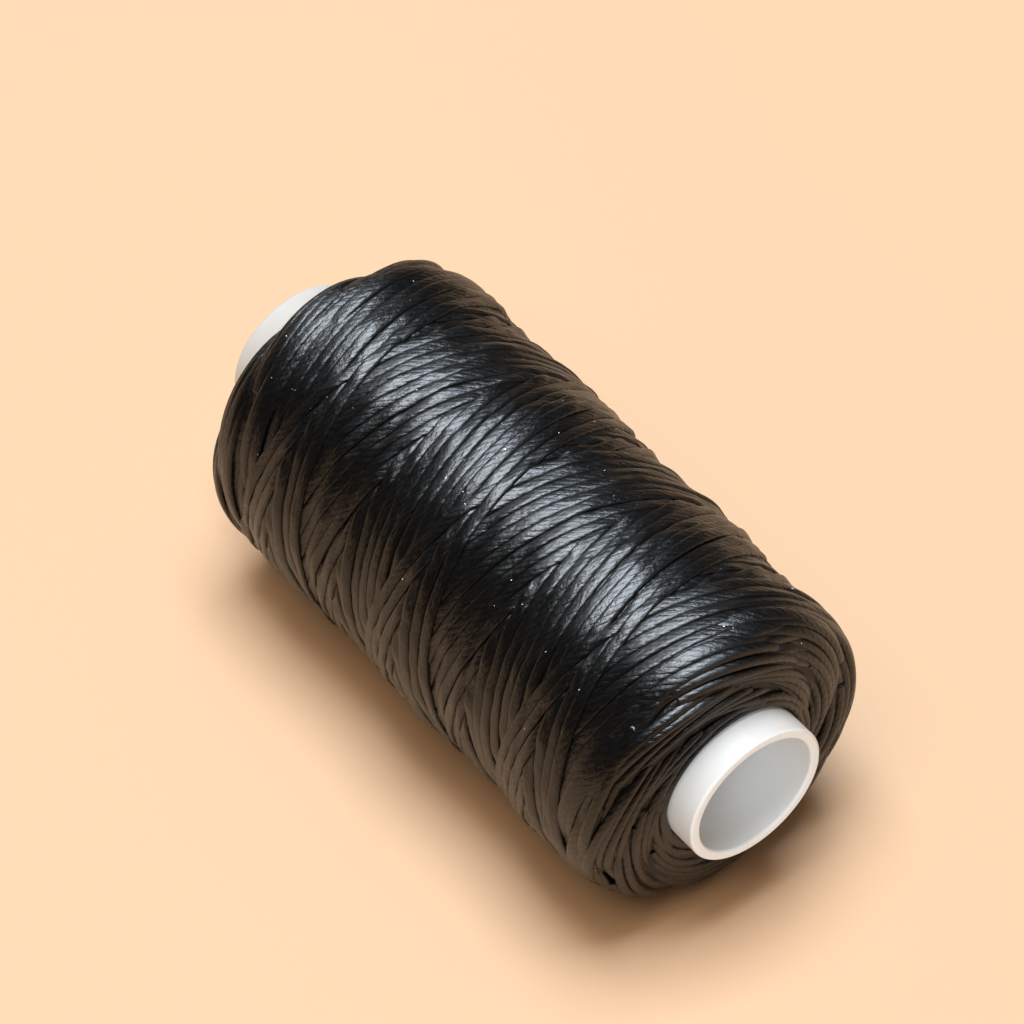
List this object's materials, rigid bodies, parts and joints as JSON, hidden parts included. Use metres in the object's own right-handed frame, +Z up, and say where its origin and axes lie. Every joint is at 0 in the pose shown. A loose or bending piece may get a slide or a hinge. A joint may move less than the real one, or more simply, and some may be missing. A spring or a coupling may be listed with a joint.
{
  "type": "waxed thread spool",
  "caption": "Hollow white plastic tube with a cross-wound package of black waxed thread, lying on its side.",
  "frame": {"origin": "on the surface the spool lies on, under the middle of the tube", "axes": "+X along the tube, +Z up; the tube stands out further from the winding at the -X end"},
  "size_m": [0.0632, 0.03, 0.03],
  "materials": {
    "white_plastic": "smooth moulded plastic",
    "waxed_thread": "black waxed polyester, satin wax sheen"
  },
  "bodies": {
    "root": {"core_tube": "white_plastic", "thread_winding": "waxed_thread"}
  },
  "joints": []
}
